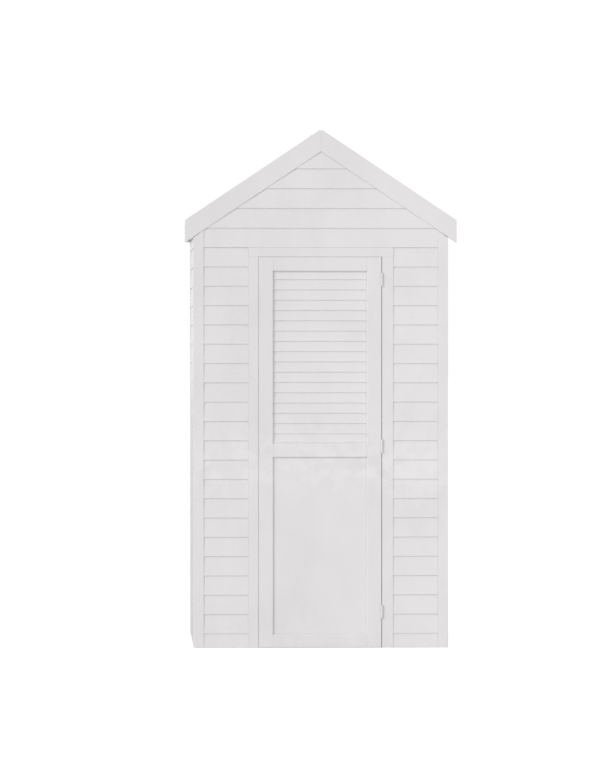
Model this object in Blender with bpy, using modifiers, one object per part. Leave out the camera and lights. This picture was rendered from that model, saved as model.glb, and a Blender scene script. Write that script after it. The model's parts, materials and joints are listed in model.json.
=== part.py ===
"""Gabled walk-in hutch with a louvred door: moulded plastic panels on corner posts.

The frame is metres, +Z up, with the origin on the ground under the middle of the object.
The front faces -Y and +X is to the right of someone who stands in front of the door.
"""
import math

import bmesh
import bpy
from mathutils import Matrix, Vector

# ---- Driving dimensions (metres) ----
GAP = 0.0003                    # between pieces that touch

WALL_WIDTH = 1.173              # over the corner posts
WALL_DEPTH = 1.100              # front face to rear face
POST = 0.047                    # square corner posts

PITCH = math.radians(33.8)      # roof slope
RIDGE_Z = 2.390                 # where the two slopes would meet
RIDGE_FLAT = 0.009              # half width of the blunt ridge
FRONT_BARGE_WIDTH = 1.251       # over the ends of the front bargeboards
ROOF_WIDTH = 1.224              # over the roof, the fascias and the rear bargeboards
BARGE_HEIGHT = 0.104            # measured upright
BARGE_THICK = 0.022
ROOF_SET_DOWN = 0.004           # roof surface below the bargeboards' top edge
ROOF_THICK = 0.012
ROOF_EDGE_INSET = 0.002         # roof edge behind the rear bargeboards' ends
CAP_REACH = 0.062               # ridge cap, ridge to edge, measured level
FASCIA_THICK = 0.012
FASCIA_FOOT_Z = 1.905

BOARD_PITCH = 0.0889            # weatherboards on the walls
FIRST_BOARD = 0.0668            # height of the lowest board
WALL_BOARDS = 20                # boards above the lowest one
GABLE_PITCH = 0.0912            # boards in the gable
LIP_INSET = 0.0010              # board lips behind the posts' face
BOARD_RISE = 0.0037             # a board's top behind its own lip
LIP_CHAMFER = 0.0008
SKIN = 0.006                    # wall thickness of the moulded panels

SURROUND_HALF = 0.334           # door surround, centre to outer edge
LATCH_JAMB = 0.046
HINGE_JAMB = 0.052              # wider, because it carries the hinges
HEAD_FOOT_Z = 1.802
JAMB_DEPTH = 0.047
STOP_WIDTH = 0.012
STOP_FACE = 0.0385              # door stop behind the front face

LEAF_THICK = 0.036
LEAF_FOOT_Z = 0.003
LEAF_TOP_Z = 1.801
LATCH_GAP = 0.0008
LATCH_BEVEL = 0.0025            # the latch edge leans, so that it clears the jamb
HINGE_GAP = 0.0025
STILE_FACE = 0.0645             # face of a stile, outside the recess
RECESS_DEPTH = 0.009
RECESS_SPLAY = 0.005            # width of the sloped recess edge
LOUVRE_RECESS = (0.940, 1.738)  # lower and upper edge at the door's face
PANEL_RECESS = (0.060, 0.881)
PANEL_THICK = 0.008

SLAT_COUNT = 17
SLAT_PITCH = 0.04735
SLAT_TOP_LIP_Z = 1.697          # lip of the uppermost slat
SLAT_THICK = 0.0025
SLAT_SETBACK = 0.0085           # lips behind the door's face
SLAT_LEAN = 0.0034              # a slat's lean over one pitch
SLAT_LAP = 0.006                # hidden behind the slat above

HINGE_HEIGHTS = (0.166, 0.930, 1.697)
HINGE_LENGTH = 0.060
BARREL_R = 0.0045
BORE_R = 0.0021
PIN_R = 0.002
PIN_HEAD_R = 0.0034
PIN_HEAD = 0.0015
BARREL_CLEAR = 0.0003           # barrel in front of the door's face
HINGE_PLATE = 0.0008
HINGE_PLATE_DEPTH = 0.030
ROUND_SEGMENTS = 24

CATCH_Z = 0.93
CATCH_SIZE = (0.014, 0.0092, 0.046)
KEEPER_SIZE = (0.016, 0.0009, 0.040)

FLOOR_THICK = 0.030
POST_ROUNDING = 0.003
EDGE_ROUNDING = 0.0015

# ---- Places worked out from them ----
AXIS_PROUD = BARREL_CLEAR + BARREL_R
BARREL_PROUD = AXIS_PROUD + BARREL_R
FRONT_Y = -(WALL_DEPTH - BARREL_PROUD) / 2
REAR_Y = FRONT_Y + WALL_DEPTH
WALL_HALF = WALL_WIDTH / 2
ROOF_HALF = ROOF_WIDTH / 2
BARGE_HALF = {"front": FRONT_BARGE_WIDTH / 2, "rear": ROOF_HALF}
POST_INNER = WALL_HALF - POST
SLOPE = math.tan(PITCH)
UPRIGHT = 1 / math.cos(PITCH)   # upright measure of a thickness across the slope

WALL_TOP_Z = FIRST_BOARD + WALL_BOARDS * BOARD_PITCH
OPENING_LEFT = -SURROUND_HALF + LATCH_JAMB
OPENING_RIGHT = SURROUND_HALF - HINGE_JAMB
LEAF_LEFT = OPENING_LEFT + LATCH_GAP
LEAF_RIGHT = OPENING_RIGHT - HINGE_GAP
LEAF_CENTRE = (LEAF_LEFT + LEAF_RIGHT) / 2
STILE_WIDTH = STILE_FACE + RECESS_SPLAY
FIELD_LEFT = LEAF_LEFT + STILE_WIDTH
FIELD_RIGHT = LEAF_RIGHT - STILE_WIDTH
FIELD_HALF = (FIELD_RIGHT - FIELD_LEFT) / 2
LOUVRE_FIELD = (LOUVRE_RECESS[0] + RECESS_SPLAY, LOUVRE_RECESS[1] - RECESS_SPLAY)
PANEL_FIELD = (PANEL_RECESS[0] + RECESS_SPLAY, PANEL_RECESS[1] - RECESS_SPLAY)
HINGE_X = OPENING_RIGHT - HINGE_GAP / 2
HINGE_Y = FRONT_Y - AXIS_PROUD

# Axes of a drawn section: its own x, its own y, and the way it is extruded.
SECTION_YZ = Matrix(((0, 0, 1, 0), (1, 0, 0, 0), (0, 1, 0, 0), (0, 0, 0, 1)))
SECTION_XZ = Matrix(((1, 0, 0, 0), (0, 0, -1, 0), (0, 1, 0, 0), (0, 0, 0, 1)))
SECTION_XY = Matrix.Identity(4)


def roof_z(x, below=0.0):
    """Height of the bargeboards' top edge at x, or of a line that far below it."""
    return RIDGE_Z - abs(x) * SLOPE - below


ROOF_UNDER = (ROOF_SET_DOWN + ROOF_THICK) * UPRIGHT


# ---- Scene, materials and basic shapes ----
def clear_scene():
    for old in list(bpy.data.objects):
        bpy.data.objects.remove(old, do_unlink=True)


def new_collection(name):
    group = bpy.data.collections.new(name)
    bpy.context.scene.collection.children.link(group)
    return group


clear_scene()
PARTS = new_collection("gabled_hutch")
CUTTERS = new_collection("cutters")


def add_object(name, mesh, location=(0, 0, 0), turn=0.0, group=PARTS):
    piece = bpy.data.objects.new(name, mesh)
    piece.location = location
    piece.rotation_euler = (0, 0, turn)
    group.objects.link(piece)
    return piece


def as_cutter(piece):
    PARTS.objects.unlink(piece)
    CUTTERS.objects.link(piece)
    piece.hide_render = True
    piece.display_type = "WIRE"
    return piece


def paint(piece, colour, roughness, metallic=0.0):
    """Give the piece a material of its own."""
    mat = bpy.data.materials.new(piece.name + "_finish")
    mat.use_nodes = True
    shader = mat.node_tree.nodes["Principled BSDF"]
    shader.inputs["Base Color"].default_value = (*colour, 1.0)
    shader.inputs["Roughness"].default_value = roughness
    shader.inputs["Metallic"].default_value = metallic
    piece.data.materials.clear()
    piece.data.materials.append(mat)
    return piece


def white(piece):
    return paint(piece, (0.80, 0.79, 0.80), 0.30)


def box(name, low, high):
    """A box between two corners, with its origin in its middle."""
    low, high = Vector(low), Vector(high)
    mesh = bpy.data.meshes.new(name)
    bm = bmesh.new()
    bmesh.ops.create_cube(bm, size=1.0, matrix=Matrix.Diagonal((*(high - low), 1.0)))
    bm.to_mesh(mesh)
    bm.free()
    return add_object(name, mesh, (low + high) / 2)


def prism(name, outline, length, axes, location=(0, 0, 0), turn=0.0):
    """A closed outline, extruded to both sides of its own plane."""
    curve = bpy.data.curves.new(name + "_outline", "CURVE")
    curve.dimensions = "2D"
    curve.fill_mode = "BOTH"
    curve.extrude = length / 2
    spline = curve.splines.new("POLY")
    spline.points.add(len(outline) - 1)
    for point, (u, v) in zip(spline.points, outline):
        point.co = (u, v, 0, 1)
    spline.use_cyclic_u = True
    drawn = bpy.data.objects.new(name + "_outline", curve)
    PARTS.objects.link(drawn)
    shape = drawn.evaluated_get(bpy.context.evaluated_depsgraph_get())
    mesh = bpy.data.meshes.new_from_object(shape)
    bpy.data.objects.remove(drawn, do_unlink=True)
    mesh.name = name
    bm = bmesh.new()
    bm.from_mesh(mesh)
    bmesh.ops.remove_doubles(bm, verts=bm.verts, dist=1e-6)
    bmesh.ops.dissolve_limit(bm, angle_limit=1e-4, verts=bm.verts, edges=bm.edges)
    bmesh.ops.recalc_face_normals(bm, faces=bm.faces)
    bm.transform(axes)
    bm.to_mesh(mesh)
    bm.free()
    return add_object(name, mesh, location, turn)


def cylinder(name, radius, length, location):
    mesh = bpy.data.meshes.new(name)
    bm = bmesh.new()
    bmesh.ops.create_cone(bm, cap_ends=True, segments=ROUND_SEGMENTS,
                          radius1=radius, radius2=radius, depth=length)
    bm.to_mesh(mesh)
    bm.free()
    return add_object(name, mesh, location)


def combine(piece, tool, operation):
    step = piece.modifiers.new(operation.lower(), "BOOLEAN")
    step.operation = operation
    step.object = tool
    step.solver = "EXACT"
    return piece


def round_edges(piece, width, chosen):
    """Round each edge by chosen(middle, direction), a share of width, in the piece's axes."""
    mesh = piece.data
    weights = mesh.attributes.new("bevel_weight_edge", "FLOAT", "EDGE")
    for edge in mesh.edges:
        start, end = (mesh.vertices[i].co for i in edge.vertices)
        direction = (end - start).normalized()
        weights.data[edge.index].value = float(chosen((start + end) / 2, direction))
    bevel = piece.modifiers.new("rounded_edges", "BEVEL")
    bevel.limit_method = "WEIGHT"
    bevel.width = width
    bevel.segments = 2
    return piece


def upright_edge(middle, direction):
    return abs(direction.z) > 0.99


def mirrored(outline):
    """The same outline on the other side of x = 0."""
    return [(-u, v) for u, v in reversed(outline)]


# ---- Weatherboard panels ----
def board_section(foot, top, lips):
    """Section of a weatherboard panel: depth behind the posts' face against height."""
    feet = [foot] + [z for z in lips if foot < z < top]
    tops = feet[1:] + [top]
    lean = BOARD_RISE / BOARD_PITCH
    outer = []
    inner = []
    for z_foot, z_top in zip(feet, tops):
        depth_top = LIP_INSET + (z_top - z_foot) * lean
        outer.append((LIP_INSET + LIP_CHAMFER, z_foot))
        outer.append((LIP_INSET, z_foot + LIP_CHAMFER))
        outer.append((depth_top, z_top))
        web = SKIN if z_top < top else 0.0
        start = z_foot + (SKIN if z_foot > foot else 0.0)
        inner.append((LIP_INSET + (start - z_foot) * lean + SKIN, start))
        inner.append((depth_top + web * lean + SKIN, z_top + web))
    return outer + inner[::-1]


WALL_LIPS = [FIRST_BOARD + i * BOARD_PITCH for i in range(WALL_BOARDS + 2)]
GABLE_LIPS = [WALL_LIPS[-1] + i * GABLE_PITCH for i in range(4)]


def wall_panel(name, width, top, location, turn):
    section = board_section(0.0, top, WALL_LIPS)
    return white(prism(name, section, width, SECTION_YZ, location, turn))


def gable_panel(name, location, turn):
    """Weatherboards cut to the triangle under the bargeboards."""
    side = POST_INNER - GAP
    foot = WALL_TOP_Z
    peak = roof_z(0, BARGE_HEIGHT + 2 * GAP)
    section = board_section(foot, peak, GABLE_LIPS)
    panel = prism(name, section, 2 * side, SECTION_YZ, location, turn)
    shoulder = roof_z(side, BARGE_HEIGHT + 2 * GAP)
    outline = [(-2 * side, foot - POST), (2 * side, foot - POST), (2 * side, shoulder),
               (side, shoulder), (0, peak), (-side, shoulder), (-2 * side, shoulder)]
    frame = prism(name + "_outline", outline, 4 * POST, SECTION_XZ, location, turn)
    combine(panel, as_cutter(frame), "INTERSECT")
    return white(panel)


def build_walls():
    strip = POST_INNER - SURROUND_HALF
    middle = (POST_INNER + SURROUND_HALF) / 2
    side_length = WALL_DEPTH - 2 * POST - 2 * GAP
    side_top = roof_z(WALL_HALF, BARGE_HEIGHT + 2 * GAP)
    mid_y = (FRONT_Y + REAR_Y) / 2
    strip_top = WALL_TOP_Z - GAP
    wall_panel("front_panel_left", strip - 2 * GAP, strip_top, (-middle, FRONT_Y, 0), 0)
    wall_panel("front_panel_right", strip - 2 * GAP, strip_top, (middle, FRONT_Y, 0), 0)
    wall_panel("rear_panel", 2 * (POST_INNER - GAP), strip_top, (0, REAR_Y, 0), math.pi)
    wall_panel("side_panel_right", side_length, side_top, (WALL_HALF, mid_y, 0), math.pi / 2)
    wall_panel("side_panel_left", side_length, side_top, (-WALL_HALF, mid_y, 0), -math.pi / 2)
    gable_panel("front_gable_panel", (0, FRONT_Y, 0), 0)
    gable_panel("rear_gable_panel", (0, REAR_Y, 0), math.pi)


# ---- Corner posts, door surround and floor ----
def build_posts():
    under = BARGE_HEIGHT + GAP * UPRIGHT
    outline = [(POST_INNER, 0), (WALL_HALF, 0), (WALL_HALF, roof_z(WALL_HALF, under)),
               (POST_INNER, roof_z(POST_INNER, under))]
    for side, shape in (("right", outline), ("left", mirrored(outline))):
        for end, y in (("front", FRONT_Y + POST / 2), ("rear", REAR_Y - POST / 2)):
            post = prism(f"corner_post_{end}_{side}", shape, POST, SECTION_XZ, (0, y, 0))
            white(round_edges(post, POST_ROUNDING, post_edge(y)))


def post_edge(y):
    """Rounds a post's upright edges in its outer face, the one at the corner most."""
    def chosen(middle, direction):
        at_end = middle.y * y > 0
        at_side = abs(middle.x) > WALL_HALF - POST / 2
        share = 1.0 if at_side else EDGE_ROUNDING / POST_ROUNDING
        return share if abs(direction.z) > 0.99 and at_end else 0.0
    return chosen


def build_surround():
    def jamb_outline(outer, opening, stop):
        return [(outer, 0), (opening, 0), (opening, STOP_FACE), (stop, STOP_FACE),
                (stop, JAMB_DEPTH), (outer, JAMB_DEPTH)]

    height = HEAD_FOOT_Z - GAP
    place = (0, FRONT_Y, height / 2)
    latch = prism("door_jamb_latch_side",
                  jamb_outline(-SURROUND_HALF, OPENING_LEFT, OPENING_LEFT + STOP_WIDTH),
                  height, SECTION_XY, place)
    hinge = prism("door_jamb_hinge_side",
                  jamb_outline(SURROUND_HALF, OPENING_RIGHT, OPENING_RIGHT - STOP_WIDTH),
                  height, SECTION_XY, place)

    def front_edge(middle, direction):
        return abs(direction.z) > 0.99 and middle.y < GAP

    white(round_edges(latch, EDGE_ROUNDING, front_edge))
    white(round_edges(hinge, EDGE_ROUNDING, front_edge))
    head = box("door_head", (-SURROUND_HALF, FRONT_Y, HEAD_FOOT_Z),
               (SURROUND_HALF, FRONT_Y + JAMB_DEPTH, WALL_TOP_Z - GAP))
    white(head)


def build_floor():
    """Floor tray: between the posts, with a tongue forward into the doorway."""
    reach = LIP_INSET + BOARD_RISE + SKIN + GAP
    side = WALL_HALF - reach
    front = FRONT_Y + JAMB_DEPTH + GAP
    tongue = FRONT_Y + STOP_FACE
    left = OPENING_LEFT + STOP_WIDTH + GAP
    right = OPENING_RIGHT - STOP_WIDTH - GAP
    notch = POST_INNER - GAP
    back = REAR_Y - POST - GAP
    rear = REAR_Y - reach
    outline = [(-side, front), (left, front), (left, tongue), (right, tongue),
               (right, front), (side, front), (side, back), (notch, back),
               (notch, rear), (-notch, rear), (-notch, back), (-side, back)]
    floor = prism("floor_panel", outline, FLOOR_THICK, SECTION_XY, (0, 0, FLOOR_THICK / 2))
    paint(floor, (0.62, 0.62, 0.63), 0.55)


# ---- Roof ----
def build_roof():
    length = WALL_DEPTH - 2 * BARGE_THICK - 2 * GAP
    mid_y = (FRONT_Y + REAR_Y) / 2
    blunt = RIDGE_Z - RIDGE_FLAT * SLOPE
    set_down = ROOF_SET_DOWN * UPRIGHT
    edge = ROOF_HALF - ROOF_EDGE_INSET
    slab_top = roof_z(RIDGE_FLAT, set_down)
    slab = [(GAP / 2, roof_z(0, ROOF_UNDER)), (edge, roof_z(edge, ROOF_UNDER)),
            (edge, roof_z(edge, set_down)), (RIDGE_FLAT, slab_top), (GAP / 2, slab_top)]
    post_top = roof_z(WALL_HALF, BARGE_HEIGHT)
    back = edge - FASCIA_THICK
    fascia = [(back, FASCIA_FOOT_Z), (edge, FASCIA_FOOT_Z),
              (edge, roof_z(edge, ROOF_UNDER + 2 * GAP)),
              (back, roof_z(back, ROOF_UNDER + 2 * GAP))]
    plate = [(POST_INNER, roof_z(POST_INNER, BARGE_HEIGHT)),
             (WALL_HALF, roof_z(WALL_HALF, BARGE_HEIGHT)),
             (WALL_HALF, roof_z(WALL_HALF, ROOF_UNDER + 2 * GAP)),
             (POST_INNER, roof_z(POST_INNER, ROOF_UNDER + 2 * GAP))]
    for side, turn_over in (("right", list), ("left", mirrored)):
        for end, y in (("front", FRONT_Y + BARGE_THICK / 2), ("rear", REAR_Y - BARGE_THICK / 2)):
            tip = BARGE_HALF[end]
            foot = [(tip, roof_z(tip, BARGE_HEIGHT))]
            if end == "rear":
                foot = [(WALL_HALF, post_top), (tip, post_top)]
            barge = [(GAP / 2, roof_z(0, BARGE_HEIGHT)), *foot, (tip, roof_z(tip)),
                     (RIDGE_FLAT, blunt), (GAP / 2, blunt)]
            board = prism(f"bargeboard_{end}_{side}", turn_over(barge), BARGE_THICK,
                          SECTION_XZ, (0, y, 0))
            white(round_edges(board, EDGE_ROUNDING, outline_edge(y, tip)))
        white(prism(f"roof_panel_{side}", turn_over(slab), length, SECTION_XZ, (0, mid_y, 0)))
        white(prism(f"eave_fascia_{side}", turn_over(fascia), length, SECTION_XZ, (0, mid_y, 0)))
        white(prism(f"wall_plate_{side}", turn_over(plate), length, SECTION_XZ, (0, mid_y, 0)))
    hollow = set_down - 2 * GAP
    half_cap = [(RIDGE_FLAT, roof_z(RIDGE_FLAT, hollow)), (CAP_REACH, roof_z(CAP_REACH, hollow)),
                (CAP_REACH, roof_z(CAP_REACH)), (RIDGE_FLAT, blunt)]
    cap = half_cap + [(-u, v) for u, v in half_cap[::-1]]
    white(prism("ridge_cap", cap, length, SECTION_XZ, (0, mid_y, 0)))


def outline_edge(y, tip):
    """Picks the top and end edges of a bargeboard's outer face."""
    def chosen(middle, direction):
        on_face = abs(direction.y) < 0.5 and middle.y * y > 0
        end = abs(middle.x) > tip - GAP
        top = abs(middle.z - roof_z(middle.x)) < GAP
        return on_face and (end or top)
    return chosen


# ---- Door ----
def recess_plug(name, field):
    """Splayed block that cuts the sloped edge of a recess into the stiles and rails."""
    reach = 0.002
    slant = RECESS_SPLAY / RECESS_DEPTH
    front_y = -reach
    back_y = RECESS_DEPTH + reach / 2
    half_height = (field[1] - field[0]) / 2
    mesh = bpy.data.meshes.new(name)
    bm = bmesh.new()
    bmesh.ops.create_cube(bm, size=2.0)
    for corner in bm.verts:
        depth = front_y if corner.co.y < 0 else back_y
        grow = (RECESS_DEPTH - depth) * slant
        corner.co = Vector((corner.co.x * (FIELD_HALF + grow), depth,
                            corner.co.z * (half_height + grow)))
    bm.to_mesh(mesh)
    bm.free()
    place = (LEAF_CENTRE, FRONT_Y, (field[0] + field[1]) / 2)
    return as_cutter(add_object(name, mesh, place))


def leaf_edge(middle, direction):
    """Picks the upright edges at the two sides of the door's front face."""
    at_side = middle.x < FIELD_LEFT - GAP or middle.x > FIELD_RIGHT + GAP
    return abs(direction.z) > 0.99 and middle.y < GAP and at_side


def slat_section(height):
    """Section of a leaning louvre slat, from its lip up to its hidden edge."""
    back = height * SLAT_LEAN / SLAT_PITCH
    nose = SLAT_THICK / 3
    return [(nose, 0), (SLAT_THICK - nose, 0), (SLAT_THICK, nose),
            (SLAT_THICK + back, height), (back, height), (0, nose)]


def build_door():
    axis = bpy.data.objects.new("door_axis", None)
    axis.location = (HINGE_X, HINGE_Y, 0)
    PARTS.objects.link(axis)
    louvre_plug = recess_plug("louvre_recess", LOUVRE_FIELD)
    panel_plug = recess_plug("panel_recess", PANEL_FIELD)
    back_y = FRONT_Y + LEAF_THICK

    pieces = []
    latch_outline = [(LEAF_LEFT, 0), (FIELD_LEFT, 0), (FIELD_LEFT, LEAF_THICK),
                     (LEAF_LEFT + LATCH_BEVEL, LEAF_THICK)]
    hinge_outline = [(FIELD_RIGHT, 0), (LEAF_RIGHT, 0), (LEAF_RIGHT, LEAF_THICK),
                     (FIELD_RIGHT, LEAF_THICK)]
    for name, outline in (("latch_stile", latch_outline), ("hinge_stile", hinge_outline)):
        stile = prism(name, outline, LEAF_TOP_Z - LEAF_FOOT_Z, SECTION_XY,
                      (0, FRONT_Y, (LEAF_FOOT_Z + LEAF_TOP_Z) / 2))
        pieces.append(round_edges(stile, EDGE_ROUNDING, leaf_edge))
    rails = {"bottom_rail": (LEAF_FOOT_Z, PANEL_FIELD[0]),
             "middle_rail": (PANEL_FIELD[1], LOUVRE_FIELD[0]),
             "top_rail": (LOUVRE_FIELD[1], LEAF_TOP_Z)}
    for name, (foot, top) in rails.items():
        pieces.append(box(name, (FIELD_LEFT + GAP, FRONT_Y, foot),
                          (FIELD_RIGHT - GAP, back_y, top)))
    for piece in pieces:
        if piece.name != "bottom_rail":
            combine(piece, louvre_plug, "DIFFERENCE")
        if piece.name != "top_rail":
            combine(piece, panel_plug, "DIFFERENCE")

    panel_y = FRONT_Y + RECESS_DEPTH
    pieces.append(box("lower_panel", (FIELD_LEFT + GAP, panel_y, PANEL_FIELD[0] + GAP),
                      (FIELD_RIGHT - GAP, panel_y + PANEL_THICK, PANEL_FIELD[1] - GAP)))
    pieces += build_slats()
    for piece in pieces:
        white(piece)
    for piece in pieces + build_hinges() + [build_catch()]:
        piece.parent = axis
        piece.location = piece.location - axis.location


def build_slats():
    width = 2 * (FIELD_HALF - GAP)
    place_y = FRONT_Y + SLAT_SETBACK
    full = SLAT_PITCH + SLAT_LAP
    slats = []
    for i in range(SLAT_COUNT):
        lip = SLAT_TOP_LIP_Z - (SLAT_COUNT - 1 - i) * SLAT_PITCH
        foot = max(lip, LOUVRE_FIELD[0] + GAP)
        top = min(lip + full, LOUVRE_FIELD[1] - GAP)
        slats.append(prism(f"louvre_slat_{i + 1:02d}", slat_section(top - foot), width,
                           SECTION_YZ, (LEAF_CENTRE, place_y, foot)))
    return slats


# ---- Hinges and catch ----
def hinge_leaf(name, plate_x, knuckles, centre_z):
    """A plate in the gap beside the door, with its knuckles round the pin."""
    low = (plate_x - HINGE_PLATE / 2, FRONT_Y + GAP, centre_z - HINGE_LENGTH / 2)
    high = (plate_x + HINGE_PLATE / 2, FRONT_Y + HINGE_PLATE_DEPTH, centre_z + HINGE_LENGTH / 2)
    leaf = box(name, low, high)
    for i, (foot, top) in enumerate(knuckles):
        height = top - foot
        middle = centre_z + (foot + top) / 2
        web_y = HINGE_Y + (BORE_R + BARREL_R) / 2
        web = box(f"{name}_web_{i}", (low[0], web_y, middle - height / 2),
                  (high[0], FRONT_Y + 2 * GAP, middle + height / 2))
        barrel = cylinder(f"{name}_barrel_{i}", BARREL_R, height, (HINGE_X, HINGE_Y, middle))
        combine(leaf, as_cutter(web), "UNION")
        combine(leaf, as_cutter(barrel), "UNION")
    bore = cylinder(f"{name}_bore", BORE_R, 2 * HINGE_LENGTH, (HINGE_X, HINGE_Y, centre_z))
    combine(leaf, as_cutter(bore), "DIFFERENCE")
    leaf.data.shade_smooth()
    leaf.data.set_sharp_from_angle(angle=math.radians(30))
    return paint(leaf, (0.78, 0.78, 0.79), 0.35, 0.2)


def hinge_pin(name, centre_z):
    """Turned pin with a flat head above the top knuckle."""
    half = HINGE_LENGTH / 2
    profile = [(0, half + PIN_HEAD + GAP), (PIN_HEAD_R, half + PIN_HEAD + GAP),
               (PIN_HEAD_R, half + GAP), (PIN_R, half + GAP), (PIN_R, -half), (0, -half)]
    mesh = bpy.data.meshes.new(name)
    bm = bmesh.new()
    points = [bm.verts.new((r, 0, z)) for r, z in profile]
    for start, end in zip(points, points[1:]):
        bm.edges.new((start, end))
    bm.to_mesh(mesh)
    bm.free()
    pin = add_object(name, mesh, (HINGE_X, HINGE_Y, centre_z))
    turn = pin.modifiers.new("turned", "SCREW")
    turn.steps = ROUND_SEGMENTS
    turn.render_steps = ROUND_SEGMENTS
    turn.use_merge_vertices = True
    turn.merge_threshold = 1e-5
    turn.use_smooth_shade = False
    return paint(pin, (0.60, 0.60, 0.61), 0.30, 1.0)


def build_hinges():
    """Three butt hinges: frame knuckles above and below the door leaf's knuckle."""
    sixth = HINGE_LENGTH / 6
    half = HINGE_LENGTH / 2
    moving = []
    for i, z in enumerate(HINGE_HEIGHTS):
        hinge_leaf(f"hinge_frame_leaf_{i + 1}", OPENING_RIGHT - GAP - HINGE_PLATE / 2,
                   [(-half, -sixth - GAP), (sixth + GAP, half)], z)
        moving.append(hinge_leaf(f"hinge_door_leaf_{i + 1}", LEAF_RIGHT + GAP + HINGE_PLATE / 2,
                                 [(-sixth, sixth)], z))
        hinge_pin(f"hinge_pin_{i + 1}", z)
    return moving


def build_catch():
    """Magnetic catch on the latch-side stop, and its keeper on the back of the door."""
    stop_x = OPENING_LEFT + STOP_WIDTH
    width, depth, height = CATCH_SIZE
    low = Vector((stop_x + GAP, FRONT_Y + LEAF_THICK + KEEPER_SIZE[1] + 3 * GAP,
                  CATCH_Z - height / 2))
    catch = box("catch_body", low, low + Vector((width, depth, height)))
    round_edges(catch, EDGE_ROUNDING, upright_edge)
    paint(catch, (0.70, 0.70, 0.71), 0.5)
    width, depth, height = KEEPER_SIZE
    low = Vector((stop_x + GAP, FRONT_Y + LEAF_THICK + GAP, CATCH_Z - height / 2))
    keeper = box("catch_keeper", low, low + Vector((width, depth, height)))
    return paint(keeper, (0.55, 0.55, 0.56), 0.35, 1.0)


build_posts()
build_walls()
build_surround()
build_floor()
build_roof()
build_door()
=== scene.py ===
"""Looks of the gabled hutch: satin moulded white shell, hinge and catch hardware, studio light."""
import json
import math

import bmesh
import bpy
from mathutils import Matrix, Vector


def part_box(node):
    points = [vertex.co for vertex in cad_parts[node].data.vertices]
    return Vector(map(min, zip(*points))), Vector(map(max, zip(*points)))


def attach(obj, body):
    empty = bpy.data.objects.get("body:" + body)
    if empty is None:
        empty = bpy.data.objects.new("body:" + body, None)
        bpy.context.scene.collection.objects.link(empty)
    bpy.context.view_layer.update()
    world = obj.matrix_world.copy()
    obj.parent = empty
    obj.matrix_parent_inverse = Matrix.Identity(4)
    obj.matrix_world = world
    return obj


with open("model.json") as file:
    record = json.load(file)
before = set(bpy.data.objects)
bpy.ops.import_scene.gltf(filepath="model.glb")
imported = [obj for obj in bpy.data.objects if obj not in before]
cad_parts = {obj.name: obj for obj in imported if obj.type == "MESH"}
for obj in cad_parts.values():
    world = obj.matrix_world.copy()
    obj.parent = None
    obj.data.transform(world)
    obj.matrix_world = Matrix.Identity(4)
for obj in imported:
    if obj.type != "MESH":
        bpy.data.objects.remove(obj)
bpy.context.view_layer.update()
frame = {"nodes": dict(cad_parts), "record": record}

WHITE = (1.0, 1.0, 1.0, 1.0)


def add_to_scene(piece):
    bpy.context.scene.collection.objects.link(piece)
    return piece


def point_along(piece, direction):
    """Turns a camera or lamp so that it looks along a direction."""
    piece.rotation_euler = direction.to_track_quat("-Z", "Y").to_euler()


# ---- Camera: a long lens, square on and slightly to the left ----
PIXEL = 0.0046                       # metres that one image pixel covers at the front face
IMAGE_HEIGHT = 782
FRONT_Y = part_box("corner_post_front_left")[0].y
CAMERA_DISTANCE = 20.0
CAMERA_X = -0.90
CAMERA_Z = 1.40
AIM = Vector((-0.085, FRONT_Y, 1.184))
SENSOR = 36.0                        # millimetres
CLIP_END = 200.0


def make_camera():
    data = bpy.data.cameras.new("camera")
    data.sensor_width = SENSOR
    data.lens = SENSOR * CAMERA_DISTANCE / (PIXEL * IMAGE_HEIGHT)
    data.clip_end = CLIP_END
    camera = add_to_scene(bpy.data.objects.new("camera", data))
    camera.location = (CAMERA_X, FRONT_Y - CAMERA_DISTANCE, CAMERA_Z)
    point_along(camera, AIM - camera.location)
    bpy.context.scene.camera = camera


# ---- Light and stage ----
KEY_ANGLES = (48.0, 22.0)            # degrees to the left of the front, and above the ground
KEY_SPREAD = 30.0                    # degrees
KEY_STRENGTH = 1.32
SKY_STRENGTH = 0.64
BACKDROP = 1.0                       # brightness seen by the camera and in reflections
FILL_PLACE = (2.5, FRONT_Y - 3.0, 1.6)
FILL_SIZE = 1.5
FILL_POWER = 11.5
FLOOR_HALF = 150.0
FLOOR_DROP = 0.0005                  # under the object, so that the faces don't coincide
FLOOR_GLOW = 0.60
FLOOR_TONE = 0.72


def make_world():
    """White backdrop for the camera and reflections, with a softer light on the object."""
    world = bpy.data.worlds.new("studio")
    world.use_nodes = True
    nodes, links = world.node_tree.nodes, world.node_tree.links
    nodes.clear()
    mix = nodes.new("ShaderNodeMixShader")
    for slot, strength in ((1, SKY_STRENGTH), (2, BACKDROP)):
        light = nodes.new("ShaderNodeBackground")
        light.inputs["Color"].default_value = WHITE
        light.inputs["Strength"].default_value = strength
        links.new(light.outputs[0], mix.inputs[slot])
    path = nodes.new("ShaderNodeLightPath")
    seen = nodes.new("ShaderNodeMath")
    seen.operation = "MAXIMUM"
    links.new(path.outputs["Is Camera Ray"], seen.inputs[0])
    links.new(path.outputs["Is Glossy Ray"], seen.inputs[1])
    links.new(seen.outputs[0], mix.inputs["Fac"])
    output = nodes.new("ShaderNodeOutputWorld")
    links.new(mix.outputs[0], output.inputs["Surface"])
    bpy.context.scene.world = world


def make_key():
    turn, climb = (math.radians(a) for a in KEY_ANGLES)
    data = bpy.data.lights.new("key", "SUN")
    data.energy = KEY_STRENGTH
    data.angle = math.radians(KEY_SPREAD)
    lamp = add_to_scene(bpy.data.objects.new("key", data))
    point_along(lamp, Vector((math.sin(turn) * math.cos(climb),
                              math.cos(turn) * math.cos(climb), -math.sin(climb))))


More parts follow.
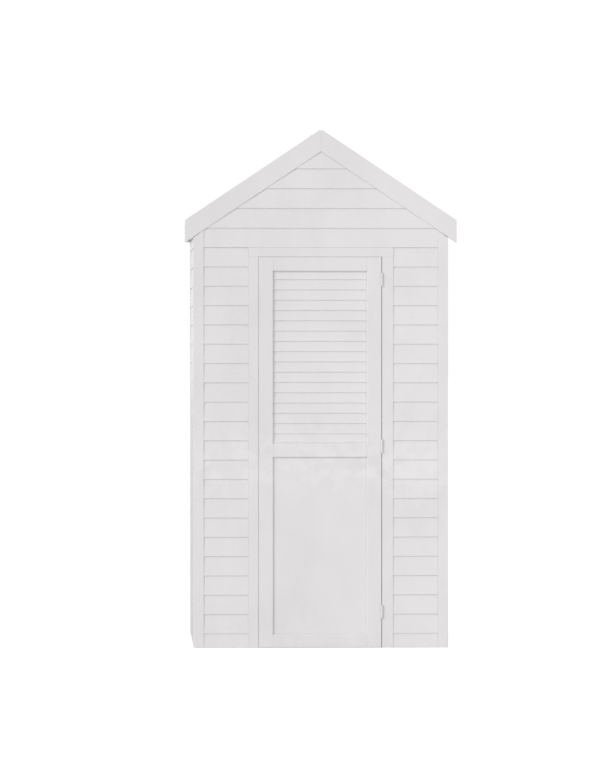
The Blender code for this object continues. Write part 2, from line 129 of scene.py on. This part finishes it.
def make_fill():
    """A weak disc of light in front, to the right."""
    data = bpy.data.lights.new("fill", "AREA")
    data.shape = "DISK"
    data.size = FILL_SIZE
    data.energy = FILL_POWER
    lamp = add_to_scene(bpy.data.objects.new("fill", data))
    lamp.location = FILL_PLACE
    point_along(lamp, Vector((0.0, FRONT_Y, AIM.z)) - lamp.location)


def make_floor():
    """A pale floor that blends into the backdrop."""
    mesh = bpy.data.meshes.new("studio_floor")
    bm = bmesh.new()
    bmesh.ops.create_grid(bm, x_segments=1, y_segments=1, size=FLOOR_HALF)
    bm.to_mesh(mesh)
    bm.free()
    floor = add_to_scene(bpy.data.objects.new("studio_floor", mesh))
    floor.location.z = -FLOOR_DROP
    mat = bpy.data.materials.new("studio_floor")
    mat.use_nodes = True
    nodes, links = mat.node_tree.nodes, mat.node_tree.links
    shader = nodes["Principled BSDF"]
    shader.inputs["Base Color"].default_value = (FLOOR_TONE, FLOOR_TONE, FLOOR_TONE, 1.0)
    shader.inputs["Roughness"].default_value = 1.0
    shader.inputs["Specular IOR Level"].default_value = 0.0
    shader.inputs["Emission Color"].default_value = WHITE
    path = nodes.new("ShaderNodeLightPath")
    glow = nodes.new("ShaderNodeMath")
    glow.operation = "MULTIPLY"
    glow.inputs[1].default_value = FLOOR_GLOW
    links.new(path.outputs["Is Camera Ray"], glow.inputs[0])
    links.new(glow.outputs[0], shader.inputs["Emission Strength"])
    mesh.materials.append(mat)


def make_stage():
    bpy.context.scene.view_settings.view_transform = "Standard"
    make_world()
    make_key()
    make_fill()
    make_floor()


# ---- Colours ----
SHELL_WHITE = (0.807, 0.787, 0.798)
SHELL_BRIGHT = (0.840, 0.822, 0.830)
SHELL_DULL = (0.778, 0.759, 0.767)
SHELL_LIP_SHADE_AND_DUST = (0.660, 0.640, 0.630)   # painted shade under the boards' lips, partly settled dust
PAINT_WHITE = (0.805, 0.785, 0.796)
PAINT_WORN = (0.715, 0.700, 0.708)
STEEL = (0.60, 0.60, 0.61)
ZINC = (0.55, 0.55, 0.56)
CATCH_GREY = (0.70, 0.70, 0.71)
FLOOR_GREY = (0.62, 0.62, 0.63)

# ---- Patterns in the shell: heights and pitches in metres, noise scales per metre ----
WALL_LAPS = (0.0668, 0.0889)         # height of the lowest lip, and the boards' pitch
GABLE_LAPS = (1.9337, 0.0912)
LIP_SHADE_AND_DUST_FROM = 0.88                     # share of a board, from its foot, where the painted shade and dust under the lip begin
LIP_SHADE_AND_DUST_MOST = 0.32
REFLECTION_BAND_RISE = (0.64, 0.82)            # the painted reflection band fades in and out between these heights
REFLECTION_BAND_FALL = (0.86, 1.08)
REFLECTION_PATCH_SCALE = 17.0
CLOUD_SCALE = 2.6
FLOW_SCALE = 9.0
FLOW_STRETCH = (1.0, 1.0, 0.35)
FLOW_SHARE = 0.35
GLOSS_SCALE = 5.0
GLOSS_RANGE = (0.29, 0.36)
WAVE_SCALE = 7.0
WAVE_DEPTH = 0.0012
PEEL_SCALE = 320.0
PEEL_DEPTH = 0.00005
MIDDLE = (0.3, 0.7)                  # range of a noise value that a spread uses
NARROW_MIDDLE = (0.35, 0.65)


class Finish:
    """A procedural material: a Principled shader, and short calls that add nodes to it."""

    def __init__(self, name, roughness, metallic=0.0, coat=0.0):
        self.mat = bpy.data.materials.new(name)
        self.mat.use_nodes = True
        self.nodes = self.mat.node_tree.nodes
        self.link = self.mat.node_tree.links.new
        self.shader = self.nodes["Principled BSDF"]
        self.set("Roughness", roughness)
        self.set("Metallic", metallic)
        self.set("Coat Weight", coat)
        self.place = self.nodes.new("ShaderNodeTexCoord").outputs["Object"]

    def set(self, socket, number):
        self.shader.inputs[socket].default_value = number

    def stretched(self, scale):
        """Object coordinates, scaled differently along each axis."""
        node = self.nodes.new("ShaderNodeMapping")
        node.inputs["Scale"].default_value = scale
        self.link(self.place, node.inputs["Vector"])
        return node.outputs["Vector"]

    def height(self):
        node = self.nodes.new("ShaderNodeSeparateXYZ")
        self.link(self.place, node.inputs[0])
        return node.outputs["Z"]

    def noise(self, scale, detail=3.0, rough=0.55, place=None):
        node = self.nodes.new("ShaderNodeTexNoise")
        node.inputs["Scale"].default_value = scale
        node.inputs["Detail"].default_value = detail
        node.inputs["Roughness"].default_value = rough
        self.link(place or self.place, node.inputs["Vector"])
        return node.outputs["Fac"]

    def spread(self, value, source, target=(0.0, 1.0)):
        """Maps a value's source range smoothly onto the target range, clamped."""
        node = self.nodes.new("ShaderNodeMapRange")
        node.interpolation_type = "SMOOTHSTEP"
        for name, number in zip(("From Min", "From Max", "To Min", "To Max"), source + target):
            node.inputs[name].default_value = number
        self.link(value, node.inputs["Value"])
        return node.outputs["Result"]

    def math(self, operation, *values):
        node = self.nodes.new("ShaderNodeMath")
        node.operation = operation
        for socket, value in zip(node.inputs, values):
            if isinstance(value, float):
                socket.default_value = value
            else:
                self.link(value, socket)
        return node.outputs["Value"]

    def blend(self, factor, first, second):
        """A colour between two, each a tuple or another node's colour."""
        node = self.nodes.new("ShaderNodeMix")
        node.data_type = "RGBA"
        for socket, colour in ((node.inputs[6], first), (node.inputs[7], second)):
            if isinstance(colour, tuple):
                socket.default_value = (*colour, 1.0)
            else:
                self.link(colour, socket)
        self.link(factor, node.inputs["Factor"])
        return node.outputs[2]

    def colour(self, value):
        self.link(value, self.shader.inputs["Base Color"])

    def roughness(self, value):
        self.link(value, self.shader.inputs["Roughness"])

    def bump(self, height, distance, strength, below=None):
        """Adds a bump over the one below, and returns its normal."""
        node = self.nodes.new("ShaderNodeBump")
        node.inputs["Distance"].default_value = distance
        node.inputs["Strength"].default_value = strength
        self.link(height, node.inputs["Height"])
        if below is not None:
            self.link(below, node.inputs["Normal"])
        self.link(node.outputs["Normal"], self.shader.inputs["Normal"])
        return node.outputs["Normal"]


def shell_finish(name, laps=None):
    """Satin moulded white shell: cloudy tone, a paler band of painted reflection, fine orange
    peel.

    Boarded panels also have painted shade, partly dust, under each lip.
    """
    finish = Finish(name, roughness=0.32, coat=0.12)
    finish.set("Coat Roughness", 0.12)
    finish.set("Specular IOR Level", 0.45)
    clouds = finish.spread(finish.noise(CLOUD_SCALE, 4.0), NARROW_MIDDLE)
    streams = finish.noise(FLOW_SCALE, 5.0, 0.6, finish.stretched(FLOW_STRETCH))
    flow = finish.spread(streams, (0.38, 0.62))
    base = finish.blend(clouds, SHELL_DULL, SHELL_WHITE)
    base = finish.blend(finish.math("MULTIPLY", flow, FLOW_SHARE), base, SHELL_BRIGHT)
    height = finish.height()
    # Painted reflection: a paler band between these heights, broken into patches.
    band = finish.math("MULTIPLY", finish.spread(height, REFLECTION_BAND_RISE),
                       finish.spread(height, REFLECTION_BAND_FALL, (1.0, 0.0)))
    patches = finish.spread(finish.noise(REFLECTION_PATCH_SCALE, 4.0, 0.6), (0.42, 0.60))
    base = finish.blend(finish.math("MULTIPLY", band, patches), base, SHELL_BRIGHT)
    # Painted shade, partly dust: each board darkens just under the lip above it, where the lip's
    # shadow falls.
    if laps:
        first, pitch = laps
        boards = finish.math("DIVIDE", finish.math("SUBTRACT", height, first), pitch)
        lip_shade_and_dust = finish.spread(finish.math("FRACT", boards), (LIP_SHADE_AND_DUST_FROM, 1.0), (0.0, LIP_SHADE_AND_DUST_MOST))
        uneven = finish.spread(flow, (0.0, 1.0), (0.6, 1.0))
        base = finish.blend(finish.math("MULTIPLY", lip_shade_and_dust, uneven), base, SHELL_LIP_SHADE_AND_DUST)
    finish.colour(base)
    finish.roughness(finish.spread(finish.noise(GLOSS_SCALE, 2.0), MIDDLE, GLOSS_RANGE))
    waves = finish.bump(finish.noise(WAVE_SCALE, 2.0), WAVE_DEPTH, 0.35)
    finish.bump(finish.noise(PEEL_SCALE, 2.0), PEEL_DEPTH, 0.3, waves)
    return finish.mat


def paint_finish():
    """White paint on pressed steel, with worn, duller streaks."""
    finish = Finish("white_metal", roughness=0.36, metallic=0.1)
    streaks = finish.noise(60.0, 4.0, 0.6, finish.stretched((4.0, 4.0, 0.5)))
    finish.colour(finish.blend(finish.spread(streaks, (0.35, 0.7)), PAINT_WHITE, PAINT_WORN))
    finish.roughness(finish.spread(streaks, MIDDLE, (0.30, 0.44)))
    finish.bump(finish.noise(420.0, 3.0), 0.0001, 0.5)
    return finish.mat


def steel_finish(name, tone, brushing):
    """Bare or plated steel with fine turning or rolling marks."""
    finish = Finish(name, roughness=0.30, metallic=1.0)
    marks = finish.noise(180.0, 4.0, 0.65, finish.stretched(brushing))
    dark = tuple(0.78 * c for c in tone)
    finish.colour(finish.blend(finish.spread(marks, MIDDLE), dark, tone))
    finish.roughness(finish.spread(marks, MIDDLE, (0.24, 0.42)))
    finish.bump(marks, 0.00006, 0.4)
    return finish.mat


def matte_finish(name, tone, grain):
    """Matte moulded plastic with a leathery grain and dusty patches."""
    finish = Finish(name, roughness=0.55)
    cells = finish.noise(grain, 4.0, 0.6)
    clouds = finish.spread(finish.noise(4.0, 3.0), NARROW_MIDDLE)
    dusty = tuple(0.90 * c for c in tone)
    pale = tuple(1.04 * c for c in tone)
    finish.colour(finish.blend(finish.math("MULTIPLY", clouds, 0.8), dusty, pale))
    finish.roughness(finish.spread(cells, MIDDLE, (0.48, 0.66)))
    finish.bump(cells, 0.0003, 0.5)
    return finish.mat


GABLE_BOARDS = shell_finish("gable_boards", GABLE_LAPS)
WALL_BOARDS = shell_finish("wall_boards", WALL_LAPS)
BOARDED = {"front_gable_panel": GABLE_BOARDS, "rear_gable_panel": GABLE_BOARDS,
           "front_panel_left": WALL_BOARDS, "front_panel_right": WALL_BOARDS,
           "side_panel_left": WALL_BOARDS, "side_panel_right": WALL_BOARDS,
           "rear_panel": WALL_BOARDS}
FINISHES = {"white_shell": shell_finish("white_shell"), "white_metal": paint_finish(),
            "pin_steel": steel_finish("pin_steel", STEEL, (1.0, 1.0, 12.0)),
            "keeper_steel": steel_finish("keeper_steel", ZINC, (0.6, 1.0, 8.0)),
            "catch_plastic": matte_finish("catch_plastic", CATCH_GREY, 900.0),
            "floor_plastic": matte_finish("floor_plastic", FLOOR_GREY, 260.0)}


# ---- The frame's own pieces ----
# Loose boards and hardware have eased edges. The moulded faces keep their crisp joints.
EASED = ("bargeboard", "eave_fascia", "wall_plate", "floor_panel", "hinge_frame", "hinge_door",
         "hinge_pin", "catch_")
EASED_WIDTH = 0.0003
EASED_ANGLE = 25.0                   # degrees
WELD_REACH = 1e-5


def ease_edges(piece):
    """Fine rounded edges on a CAD node, whose own mesh stays as it is."""
    weld = piece.modifiers.new("weld", "WELD")
    weld.merge_threshold = WELD_REACH
    bevel = piece.modifiers.new("edges", "BEVEL")
    bevel.width = EASED_WIDTH
    bevel.segments = 2
    bevel.limit_method = "ANGLE"
    bevel.angle_limit = math.radians(EASED_ANGLE)


def dress_frame():
    slots = {part["node"]: part["material_slot"] for part in frame["record"]["subparts"]}
    for node, piece in frame["nodes"].items():
        if node.startswith(EASED):
            ease_edges(piece)
        for holder in piece.material_slots:
            holder.material = BOARDED.get(node, FINISHES[slots[node]])


# ---- Screws ----
SCREW_SIDES = 24
SCREW_DOME = ((1.00, 0.00), (0.97, 0.45), (0.84, 0.82), (0.60, 1.00))    # radius, height
SCREW_SOCKET = ((0.50, 0.98), (0.46, 0.20))                              # hexagonal rings
SCREW_SHARP = 40.0                   # degrees
HINGE_SCREW = (0.0032, 0.00024)      # radius, and height that fits between closed plates
CATCH_SCREW = (0.0028, 0.0012)
KEEPER_SCREW = (0.0030, 0.0004)
RIDGE_FIXING = (0.0070, 0.0035)
HINGE_ROWS = (-0.021, 0.0, 0.021)    # heights from the hinge's middle
FRAME_INSETS = (0.011, 0.022, 0.011)   # behind the front face
DOOR_INSETS = (0.022, 0.011, 0.022)
CATCH_ROWS = (-0.015, 0.015)
KEEPER_ROWS = (-0.014, 0.014)
RIDGE_PAIRS = 6
RIDGE_ENDS = 0.06                    # first and last fixing, from the cap's ends
RIDGE_SIDES = (-0.044, 0.044)
CLEAR = 0.05                         # rays start this far outside a node


def screw_rings():
    """Rings of one head of unit radius and height, from its rim to its socket's floor."""
    turn = math.tau / SCREW_SIDES
    for radius, height in SCREW_DOME:
        yield [Vector((radius * math.cos(i * turn), radius * math.sin(i * turn), height))
               for i in range(SCREW_SIDES)]
    flat = math.cos(math.pi / 6)
    for radius, height in SCREW_SOCKET:
        ring = []
        for i in range(SCREW_SIDES):
            reach = radius * flat / math.cos((i * turn) % (math.pi / 3) - math.pi / 6)
            ring.append(Vector((reach * math.cos(i * turn), reach * math.sin(i * turn), height)))
        yield ring


def screws(name, node, rays, size, body, slot="pin_steel"):
    """Socket-headed screws in one mesh, each where a ray first meets a CAD node."""
    radius, height = size
    bm = bmesh.new()
    for start, direction in rays:
        hit, spot, normal, _ = frame["nodes"][node].ray_cast(Vector(start), Vector(direction))
        if not hit:
            raise RuntimeError(f"{name}: no surface for a screw")
        turn = normal.to_track_quat("Z", "Y")
        scale = Vector((radius, radius, height))
        rings = [[bm.verts.new(spot + turn @ (point * scale)) for point in ring]
                 for ring in screw_rings()]
        bm.faces.new(reversed(rings[0]))
        for low, high in zip(rings, rings[1:]):
            for i in range(SCREW_SIDES):
                j = (i + 1) % SCREW_SIDES
                bm.faces.new((low[i], low[j], high[j], high[i]))
        bm.faces.new(rings[-1])
    mesh = bpy.data.meshes.new(name)
    bm.to_mesh(mesh)
    bm.free()
    mesh.shade_smooth()
    mesh.set_sharp_from_angle(angle=math.radians(SCREW_SHARP))
    mesh.materials.append(FINISHES[slot])
    piece = add_to_scene(bpy.data.objects.new(name, mesh))
    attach(piece, body)


def hinge_screws():
    """Three screws in each hinge plate, staggered so that closed plates clear them."""
    for side, body, insets, toward in (("frame", "root", FRAME_INSETS, 1.0),
                                       ("door", "door", DOOR_INSETS, -1.0)):
        for i in (1, 2, 3):
            node = f"hinge_{side}_leaf_{i}"
            low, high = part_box(node)
            middle = (low + high) / 2
            rays = [((middle.x - toward * CLEAR, FRONT_Y + inset, middle.z + row), (toward, 0, 0))
                    for inset, row in zip(insets, HINGE_ROWS)]
            screws(f"hinge_{side}_screws_{i}", node, rays, HINGE_SCREW, body)


def catch_screws():
    """Two screws through the catch's side, and two in the keeper on the door's back."""
    low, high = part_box("catch_body")
    middle = (low + high) / 2
    rays = [((high.x + CLEAR, middle.y, middle.z + row), (-1, 0, 0)) for row in CATCH_ROWS]
    screws("catch_screws", "catch_body", rays, CATCH_SCREW, "root")
    low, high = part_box("catch_keeper")
    middle = (low + high) / 2
    rays = [((middle.x, high.y + CLEAR, middle.z + row), (0, -1, 0)) for row in KEEPER_ROWS]
    screws("keeper_screws", "catch_keeper", rays, KEEPER_SCREW, "door")


def ridge_screws():
    """Capped fixings along both flanks of the ridge cap."""
    low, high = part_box("ridge_cap")
    step = (high.y - low.y - 2 * RIDGE_ENDS) / (RIDGE_PAIRS - 1)
    rays = [((x, low.y + RIDGE_ENDS + i * step, high.z + CLEAR), (0, 0, -1))
            for i in range(RIDGE_PAIRS) for x in RIDGE_SIDES]
    screws("ridge_screws", "ridge_cap", rays, RIDGE_FIXING, "root", "catch_plastic")


make_camera()
make_stage()
dress_frame()
bpy.context.view_layer.update()
hinge_screws()
catch_screws()
ridge_screws()
